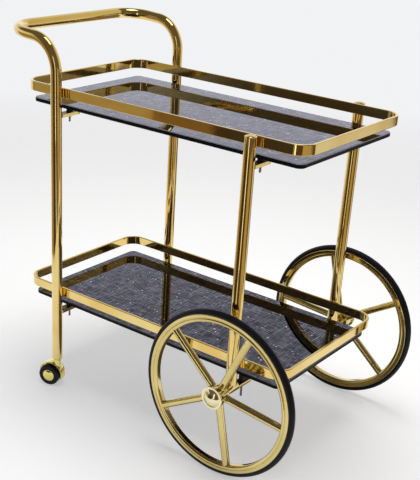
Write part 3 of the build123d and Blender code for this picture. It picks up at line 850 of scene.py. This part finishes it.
def threaded_stud(spot):
    """Stud with a ridge for each pitch of its thread."""
    size = sizes()
    pitch, major = size.stud_pitch, size.stud_diameter / 2
    thread_share, tip_share = 0.6, 0.8
    minor = major - thread_share * pitch
    tall = spot.tab_top - size.tab_thickness / 2 - spot.stud_end
    corners = [(0, 0, 0), (minor * tip_share, 0, 0)]
    height = pitch / 2
    while height < tall - pitch:
        corners += [(minor, height, 0), (major, height + pitch / 2, 0)]
        height += pitch
    corners += [(minor, height, 0), (minor, tall, 0), (0, tall, 0)]
    return turned(corners, pad_place(spot.leg_x, spot.side, spot.stud_end), around=20)


def hex_nut(spot):
    size = sizes()
    bm = bmesh.new()
    bmesh.ops.create_circle(bm, cap_ends=True, segments=6, radius=size.nut_width / sqrt(3))
    thicken(bm, size.nut_height)
    round_corners(bm, bm.verts[:], EASED, steps=2)
    round_edges(bm, BURR, steps=2)
    low = spot.tab_top - size.tab_thickness - size.nut_height
    return moved(bm, pad_place(spot.leg_x, spot.side, low))


class CART_OT_studs(bpy.types.Operator):
    """Turn the threaded studs and chamfered nuts under the glass"""

    bl_idname = "cart.studs"
    bl_label = "Studs and nuts"

    def execute(self, context):
        kinds = (("threaded_studs_", threaded_stud, "_studs", 20), ("hex_nuts_", hex_nut, "_nuts", 25))
        for shelf in SHELVES:
            for piece, make, node, sharp in kinds:
                bm = gather(make(spot) for spot in supports(shelf))
                add_piece(piece + shelf, bm, shelf + node, [plated_steel], sharp=sharp)
        return {"FINISHED"}


# Large wheels, with the bearing of each one's first spoke in degrees
FIRST_SPOKE = {"left": 32, "right": 66}


def tyre(name, place):
    """Tyre with a domed tread and a lip that closes on the rim."""
    near, far = axle_span("tyre_" + name)[:2]
    half, tread = (far - near) / 2, AXLE_Z
    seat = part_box("rim_" + name)[1].z - AXLE_Z
    shoulder = seat + sizes().tyre_shoulder
    crown = dome_knee(half, tread - shoulder)
    lip_inset, lip_height, fullness = 0.0006, 0.0012, 0.98
    outer_half = [(seat, half - lip_inset, 0), (seat + lip_height, half, FINE), (shoulder, half, SOFT),
                  (tread, crown, crown * fullness)]
    return turned(both_faces(outer_half), place, around=160, arc_steps=8)


def rim(name, place):
    """Rim with a flat band, a groove and a crowned inner ring."""
    size = sizes()
    low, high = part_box("rim_" + name)
    outer, half, ring_half = high.z - AXLE_Z, size.rim_width / 2, (high.y - low.y) / 2
    band = outer - size.rim_band
    ring = band - size.rim_groove
    bore = outer - size.rim_depth
    floor = half - size.rim_groove_depth
    draft, seat_edge, crown_edge = 0.0002, 0.0014, 0.006
    outer_half = [(outer, half, seat_edge), (band, half, FULL), (band - draft, floor, CRISP),
                  (ring + draft, floor, CRISP), (ring, ring_half, FULL),
                  ((ring + bore) / 2, ring_half, crown_edge), (bore, ring_half - size.rim_crown, FULL)]
    return turned(both_faces(outer_half), place, around=160, arc_steps=6)


def spokes(name, side):
    """Round spokes, each with a weld where it stands on the drum."""
    size = sizes()
    radius, drum = size.spoke_diameter / 2, axle_span("hub_" + name)[2]
    rim_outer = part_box("rim_" + name)[1].z - AXLE_Z
    sunk_share, weld_edge = 0.77, 0.0015
    start, stop = drum * sunk_share, rim_outer - size.rim_depth / 2 - size.rim_band / 2
    weld, weld_low, weld_high = radius + 0.0010, drum - 0.0010, drum + 0.0014
    corners = [(0, start, 0), (weld, start, 0), (weld, weld_low, LIGHT), (radius, weld_high, weld_edge),
               (radius, stop, 0), (0, stop, 0)]
    parts = []
    for index in range(size.spoke_count):
        angle = radians(FIRST_SPOKE[name] + index * 360 / size.spoke_count)
        outward = (cos(angle), 0, sin(angle))
        parts.append(turned(corners, along(outward, (FRONT_X, side * SPOKE_Y, AXLE_Z)), around=40))
    return gather(parts)


def hub(name, place):
    """Drum with a neck towards the cart and a recess for the cap."""
    size = sizes()
    near, far, drum = axle_span("hub_" + name)
    neck, bore, recess = size.hub_neck_diameter / 2, size.hub_bore / 2, size.hub_recess
    step, floor = far - size.hub_drum_length, far - recess
    corners = [(bore, near, 0), (neck, near, SOFT), (neck, step, ROUND), (drum, step, BROAD),
               (drum, far, EASED), (recess, far, 0), (recess, floor, 0), (bore, floor, 0)]
    return turned(corners, place, around=72, arc_steps=5)


def hub_cap(name, place):
    """Flat ring round a dome, with a fine groove between them."""
    size = sizes()
    near, far, ring = axle_span("hub_cap_" + name)
    plug, seat = size.hub_recess, near + size.hub_plug
    dome, base = size.hub_dome_diameter / 2, far - size.hub_dome_height
    groove, groove_floor, groove_depth, foot, foot_rise = 0.0008, 0.0002, 0.0007, 0.0004, 0.0002
    corners = [(0, near, 0), (plug, near, 0), (plug, seat, 0), (ring, seat, LIGHT), (ring, base, BROAD),
               (dome + groove, base, CRISP), (dome + groove_floor, base - groove_depth, BURR),
               (dome - foot, base + foot_rise, 0)]
    corners += dome_top(dome, size.hub_dome_height, far, fullness=0.97)
    return turned(corners, place, around=72, arc_steps=8)


class CART_OT_wheels(bpy.types.Operator):
    """Build the large spoked wheels with tyres, rims, hubs and caps"""

    bl_idname = "cart.wheels"
    bl_label = "Large wheels"

    def execute(self, context):
        for name, side in SIDES.items():
            place = axle_place(side)
            pieces = (("round_tyre_", tyre(name, place), "tyre_", tyre_rubber, "tyre"),
                      ("grooved_rim_", rim(name, place), "rim_", wheel_gold, "gold"),
                      ("wheel_spokes_", spokes(name, side), "spokes_", spoke_gold, "gold"),
                      ("wheel_hub_", hub(name, place), "hub_", wheel_gold, "gold"),
                      ("domed_cap_", hub_cap(name, place), "hub_cap_", cap_gold, "gold"))
            for piece, bm, node, make, slot in pieces:
                add_piece(piece + name, bm, node + name, [make], "wheel_" + name)
        return {"FINISHED"}


# Casters, with the hoods tilted back over their wheels
HOOD_TILT = radians(20)


def socket(name, place):
    """Flanged socket that plugs the foot of a rear leg."""
    low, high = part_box("caster_socket_" + name)
    radius, bore, flange = (high.x - low.x) / 2, 0.0052, low.z + 0.004
    plug = radius - 0.0016
    corners = [(bore, low.z, 0), (radius, low.z, ROUND), (radius, flange, CRISP), (plug, flange, 0),
               (plug, high.z, 0), (bore, high.z, 0)]
    return turned(corners, place, around=48)


def hood_shell(inner):
    """Half round of the hood over both wheels, tilted back."""
    outer, half = inner + sizes().hood_wall, sizes().hood_width / 2
    corners = [(inner, -half, LIGHT), (outer, -half, ROUND), (outer, half, ROUND), (inner, half, LIGHT)]
    bm = bmesh.new()
    outline_face(bm, corners, arc_steps=4)
    moved(bm, Matrix.Rotation(HOOD_TILT, 4, "Z"))
    bmesh.ops.spin(bm, geom=everything(bm), cent=(0, 0, 0), axis=UP, angle=pi, steps=48)
    return close_up(bm)


def hood_web(inner):
    """Half disc between the wheels, sunk a little into the hood."""
    sunk, thickness = 0.0005, sizes().web_thickness
    bm = bmesh.new()
    bmesh.ops.create_circle(bm, cap_ends=True, segments=72, radius=inner + sunk)
    bmesh.ops.bisect_plane(bm, geom=everything(bm), plane_co=(0, 0, 0),
                           plane_no=(-sin(HOOD_TILT), cos(HOOD_TILT), 0), clear_inner=True)
    round_edges(thicken(bm, thickness), EASED, steps=3)
    return moved(bm, Matrix.Translation((0, 0, -thickness / 2)))


def hood_lobe():
    """Round eye of the web on the axle."""
    radius, half = sizes().lobe_diameter / 2, sizes().web_thickness / 2
    corners = [(0, -half, 0), (radius, -half, EASED), (radius, half, EASED), (0, half, 0)]
    return turned(corners, Matrix.Identity(4), around=40, arc_steps=3)


def hood_boss(name, place):
    """Boss of the hood that the stem stands in."""
    top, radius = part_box("caster_hood_" + name)[1].z, sizes().boss_diameter / 2
    foot, bore, floor = top - sizes().boss_depth, 0.0051, top - 0.004
    corners = [(0, foot, 0), (radius, foot, 0), (radius, top, ROUND), (bore, top, 0), (bore, floor, 0),
               (0, floor, 0)]
    return turned(corners, place, around=40)


def hood(name, axle, stem, fork):
    inner = axle.z + sizes().hood_gap
    parts = [moved(part, fork) for part in (hood_shell(inner), hood_web(inner), hood_lobe())]
    return gather(parts + [hood_boss(name, stem)])


def roller(radius, place):
    """Wheel with a soft tread, a shallow inner face and a groove round its disc."""
    size = sizes()
    bore, seat, start = size.roller_bore / 2, size.disc_diameter / 2, size.roller_gap
    stop = start + size.roller_width
    floor, tread_edge, depth = stop - size.disc_seat, 0.003, 0.0006
    ledge, shoulder = radius - 0.006, radius - 0.005
    groove_outer, groove_inner, slope = seat + 0.0028, seat + 0.0008, 0.0004
    corners = [(bore, start, 0), (ledge, start, 0), (shoulder, start + depth, FINE),
               (radius, start, tread_edge), (radius, stop, tread_edge), (groove_outer, stop, LIGHT),
               (groove_outer - slope, stop - depth, CRISP), (groove_inner + slope, stop - depth, CRISP),
               (groove_inner, stop, CRISP), (seat, stop, CRISP), (seat, floor, 0), (bore, floor, 0)]
    return turned(corners, place, around=72, arc_steps=5)


def trim_disc(place):
    """Domed disc with a raised rim, seated in a caster wheel."""
    size = sizes()
    seat, stop = size.disc_diameter / 2, size.roller_gap + size.roller_width
    floor, top = stop - size.disc_seat, stop + size.disc_dome
    outer, inside, spread = seat - 0.0001, seat - 0.0015, 0.0003
    rim_top, valley, foot = stop + 0.0007, stop + 0.0002, 0.0004
    corners = [(0, floor, 0), (outer, floor, 0), (outer, rim_top, FINE), (inside + spread, rim_top, FINE),
               (inside, valley, BURR), (inside - spread, stop + foot, 0)]
    corners += dome_top(inside, size.disc_dome - foot, top, fullness=0.95)
    return turned(corners, place, around=56, arc_steps=6)


class CART_OT_casters(bpy.types.Operator):
    """Build the twin-wheel swivel casters under the rear legs"""

    bl_idname = "cart.casters"
    bl_label = "Casters"

    def execute(self, context):
        for name in SIDES:
            body = "caster_" + name
            swivel = JOINT_POINTS[body + "_swivel"]
            axle = JOINT_POINTS["caster_wheel_" + name + "_inner_spin"]
            trail = Vector((axle.x - swivel.x, axle.y - swivel.y, 0)).normalized()
            stem = Matrix.Translation((swivel.x, swivel.y, 0))
            fork = Matrix.Translation(axle) @ Matrix((trail, UP, trail.cross(UP))).transposed().to_4x4()
            add_piece("stem_socket_" + name, socket(name, stem), "caster_socket_" + name, [polished_gold])
            bm = hood(name, axle, stem, fork)
            add_piece("wheel_hood_" + name, bm, "caster_hood_" + name, [caster_gold], body)
            for end in (name + "_inner", name + "_outer"):
                node = "caster_wheel_" + end
                low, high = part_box(node)
                outward = ((low + high) / 2 - axle).normalized()
                outward.z = 0
                place = along(outward, axle)
                bm = roller(axle.z, place)
                add_piece("roller_" + end, bm, node, [caster_plastic], node)
                bm = trim_disc(place)
                add_piece("trim_disc_" + end, bm, "caster_disc_" + end, [caster_gold], node)
        return {"FINISHED"}


class CART_OT_hidden_parts(bpy.types.Operator):
    """Finish the bolts, washers, bushes and pins that keep their solid shape"""

    bl_idname = "cart.hidden_parts"
    bl_label = "Axles and pins"

    def execute(self, context):
        kept = {plated_steel: ("axle_insert_", "axle_bolt_", "washers_", "caster_stem_", "caster_axle_"),
                bush_plastic: ("bushes_",)}
        for make, prefixes in kept.items():
            for node in (prefix + name for prefix in prefixes for name in SIDES):
                for place in frame["nodes"][node].material_slots:
                    place.material = make()
        return {"FINISHED"}


# Studio lamps: place, point aimed at, width, height, watts, and whether metal mirrors the lamp
LAMPS = {
    "overhead_box": ((-0.1, 0.2, 2.6), (-0.1, 0.2, 0.4), 1.3, 1.3, 33, False),
    "small_box": ((0.0, 0.25, 2.55), (0.0, 0.25, 0.4), 0.8, 0.8, 7, True),
    "strip_box": ((0.72, -2.0, 0.85), (0.2, -0.2, 0.5), 0.3, 1.6, 2.2, True),
}
# Screens in reflections: colour, lower and upper radius, first and last bearing in degrees, top, centre
FLAGS = {
    "front_flag": ((0.060, 0.045, 0.036), 1.15, 2.2, 243, 282, 0.85, (0, 0)),
    "brown_flag": ((0.24, 0.16, 0.08), 1.15, 2.2, 235, 243, 0.85, (0, 0)),
    "centre_flag": ((0.10, 0.058, 0.030), 1.15, 2.2, 295, 324, 0.85, (0, 0)),
    "right_flag": ((0.52, 0.38, 0.19), 1.3, 2.2, 324, 362, 0.85, (0, 0)),
    "ground_flag": ((0.30, 0.21, 0.12), 0.9, 2.5, 58, 126, 0.3, (0, 0)),
    # Disc under the cart: painted shadow of the floor there, seen only in reflections
    "under_flag": ((0.42, 0.36, 0.30), 0.01, 0.32, 0, 360, 0.004, (0.12, 0.06)),
    "left_flag": ((0.46, 0.37, 0.21), 1.2, 2.2, 198, 235, 0.8, (0, 0)),
    "side_flag": ((0.16, 0.095, 0.05), 1.5, 2.2, 371, 390, 0.85, (0, 0)),
}
FLAG_FOOT = 0.002
# Camera, with its angles in degrees and its focal length and shifts in pixels
CAMERA_PLACE = (1.2689145, -1.7541996, 1.2220872)
CAMERA_AZIMUTH = 53.3462
CAMERA_ELEVATION = 25.2477
CAMERA_ROLL = -3.2927
FOCAL_LENGTH = 983.6853
SHIFT_RIGHT = 22.7898
SHIFT_UP = 75.8812
PICTURE_HEIGHT = 480
SENSOR_WIDTH = 36


def seen_rays(wire):
    """One for rays that the camera sees straight on, mirrored or through glass."""
    rays = wire.add("ShaderNodeLightPath").outputs
    seen = wire.math("MAXIMUM", rays["Is Camera Ray"], rays["Is Glossy Ray"])
    return wire.math("MAXIMUM", seen, rays["Is Transmission Ray"])


def surroundings(wire, way):
    """Colour of the room in a direction: pale sheets before dim walls."""
    tone = finish()
    height = wire.add("ShaderNodeSeparateXYZ", {"Vector": way}).outputs["Z"]
    band = wire.mix(wire.remap(height, low=0.0, high=0.08), rgba(tone.backdrop), rgba(tone.window))
    far = wire.mix(wire.remap(height, low=0.30, high=0.44), band, rgba(tone.upper_sheet))
    rise = wire.remap(height, low=-0.06, high=0.16)
    right = wire.mix(rise, rgba(tone.right_floor), rgba(tone.right_sheet))
    room = rgba(tone.ceiling)
    soft_edge, soft_top = 0.15, 0.06
    # Each sheet's colour, bearing in degrees, edge and top
    sheets = ((rgba(tone.backdrop), 185, 0.62, 0.42), (right, 85, 0.45, 0.72), (far, 128, 0.50, 0.72))
    for sheet, bearing, edge, top in sheets:
        facing = (cos(radians(bearing)), sin(radians(bearing)), 0)
        turn = wire.vector("DOT_PRODUCT", way, facing)["Value"]
        below = wire.remap(height, top, top + soft_top, to_low=1, to_high=0)
        inside = wire.math("MULTIPLY", wire.remap(turn, edge, edge + soft_edge), below)
        room = wire.mix(inside, room, sheet)
    return room


def studio_floor():
    """Pale floor that keeps the cart's shadow and fades out round it."""
    bm = bmesh.new()
    bmesh.ops.create_circle(bm, cap_ends=True, segments=96, radius=6)
    made, wire = new_material("studio_floor")
    patch = wire.group(moulded_grain(), {"Grain size": 60.0})["Patch"]
    tone, dim = finish().floor, 0.985
    reach = wire.vector("LENGTH", wire.place())["Value"]
    wire.surface({
        "Specular IOR Level": 0.1, "Roughness": 0.8, "Emission Strength": 1.0,
        "Base Color": wire.mix(patch, rgba(tone), rgba(tone, dim, dim, dim)),
        "Emission Color": wire.mix(seen_rays(wire), (0, 0, 0, 1), rgba(finish().floor_glow)),
        "Alpha": wire.remap(reach, low=1.5, high=3.4, to_low=1, to_high=0),
    })
    new_object("studio_floor", bm, [made])


def studio_world(scene):
    """Pale room, with the light of the mirrored one."""
    scene.world = bpy.data.worlds.new("studio")
    scene.world.use_nodes = True
    wire = Wiring(scene.world.node_tree)
    room = surroundings(wire, wire.add("ShaderNodeTexCoord").outputs["Generated"])
    shown = wire.mix(seen_rays(wire), room, rgba(finish().backdrop))
    back = wire.add("ShaderNodeBackground", {"Color": shown, "Strength": 1.0})
    wire.add("ShaderNodeOutputWorld", {"Surface": back.outputs["Background"]})


def reflected_screen(name, bm, made):
    """Piece of the studio that shows only in reflections."""
    screen = new_object(name, bm, [made])
    screen.visible_camera = False
    screen.visible_diffuse = False
    screen.visible_shadow = False


def mirrored_room():
    """Far dome with the surroundings that the polished metal mirrors."""
    bm = bmesh.new()
    bmesh.ops.create_icosphere(bm, subdivisions=4, radius=60)
    made, wire = new_material("mirrored_room")
    way = wire.vector("NORMALIZE", wire.place())["Vector"]
    wire.surface({
        "Base Color": (0, 0, 0, 1), "Roughness": 1.0, "Specular IOR Level": 0.0,
        "Emission Color": surroundings(wire, way), "Emission Strength": 1.0,
    })
    made.cycles.emission_sampling = "NONE"
    reflected_screen("mirrored_room", bm, made)


def flag(name, tone, foot_radius, top_radius, start, stop, top, centre):
    """Leaning curved screen between two bearings."""
    bm = bmesh.new()
    out = Vector((cos(radians(start)), sin(radians(start)), 0))
    pivot = Vector((*centre, 0))
    ends = ((foot_radius, FLAG_FOOT), (top_radius, top))
    bm.edges.new([bm.verts.new(pivot + out * radius + UP * height) for radius, height in ends])
    bmesh.ops.spin(bm, geom=everything(bm), cent=pivot, axis=UP, angle=radians(stop - start), steps=40,
                   use_merge=stop - start == 360)
    made = moulded(name, tone, smooth=0.85, dull=0.95, grain=0.0, lift=1.2, specular=0.0)
    reflected_screen(name, bm, made)


def light(name, spot, aim, wide, tall, watts, mirrored):
    lamp = bpy.data.lights.new(name, "AREA")
    lamp.shape = "RECTANGLE"
    lamp.size = wide
    lamp.size_y = tall
    lamp.energy = watts
    holder = bpy.data.objects.new(name, lamp)
    holder.location = spot
    holder.visible_camera = False
    holder.visible_glossy = mirrored
    holder.rotation_euler = (Vector(aim) - Vector(spot)).to_track_quat("-Z", "Y").to_euler()
    bpy.context.scene.collection.objects.link(holder)


def camera(scene):
    azimuth, elevation, roll = map(radians, (CAMERA_AZIMUTH, CAMERA_ELEVATION, CAMERA_ROLL))
    ahead = Vector((-cos(elevation) * cos(azimuth), cos(elevation) * sin(azimuth), -sin(elevation)))
    right = ahead.cross(UP).normalized()
    down = ahead.cross(right)
    across = cos(roll) * right + sin(roll) * down
    below = -sin(roll) * right + cos(roll) * down
    lens = bpy.data.cameras.new("camera")
    lens.sensor_width = SENSOR_WIDTH
    lens.lens = FOCAL_LENGTH * SENSOR_WIDTH / PICTURE_HEIGHT
    lens.shift_x = SHIFT_RIGHT / PICTURE_HEIGHT
    lens.shift_y = SHIFT_UP / PICTURE_HEIGHT
    holder = bpy.data.objects.new("camera", lens)
    turn = Matrix((across, -below, -ahead)).transposed().to_4x4()
    holder.matrix_world = Matrix.Translation(CAMERA_PLACE) @ turn
    scene.collection.objects.link(holder)
    scene.camera = holder


class CART_OT_stage(bpy.types.Operator):
    """Set the floor, the soft lights and the camera"""

    bl_idname = "cart.stage"
    bl_label = "Stage"

    def execute(self, context):
        studio_floor()
        studio_world(context.scene)
        mirrored_room()
        for name, values in LAMPS.items():
            light(name, *values)
        for name, values in FLAGS.items():
            flag(name, *values)
        camera(context.scene)
        context.scene.view_settings.view_transform = "Standard"
        return {"FINISHED"}


class CART_PT_builder(bpy.types.Panel):
    """Sizes, colours and steps of the cart"""

    bl_idname = "CART_PT_builder"
    bl_label = "Service cart"
    bl_space_type = "VIEW_3D"
    bl_region_type = "UI"
    bl_category = "Cart"

    def draw(self, context):
        for group in (context.scene.cart_sizes, context.scene.cart_finish):
            box = self.layout.box()
            for name in group.bl_rna.properties.keys():
                if name not in ("rna_type", "name"):
                    box.prop(group, name)
        for step in STEPS:
            self.layout.operator(step.bl_idname)


STEPS = (
    CART_OT_handle_frame,
    CART_OT_front_legs,
    CART_OT_rails,
    CART_OT_glass,
    CART_OT_tabs,
    CART_OT_pads,
    CART_OT_studs,
    CART_OT_wheels,
    CART_OT_casters,
    CART_OT_hidden_parts,
    CART_OT_stage,
)
CLASSES = (CartSizes, CartFinish, *STEPS, CART_PT_builder)


def register():
    for each in CLASSES:
        bpy.utils.register_class(each)
    bpy.types.Scene.cart_sizes = PointerProperty(type=CartSizes)
    bpy.types.Scene.cart_finish = PointerProperty(type=CartFinish)


def unregister():
    del bpy.types.Scene.cart_finish
    del bpy.types.Scene.cart_sizes
    for each in reversed(CLASSES):
        bpy.utils.unregister_class(each)


def main():
    register()
    for step in STEPS:
        group, action = step.bl_idname.split(".")
        getattr(getattr(bpy.ops, group), action)()


if __name__ == "__main__":
    main()
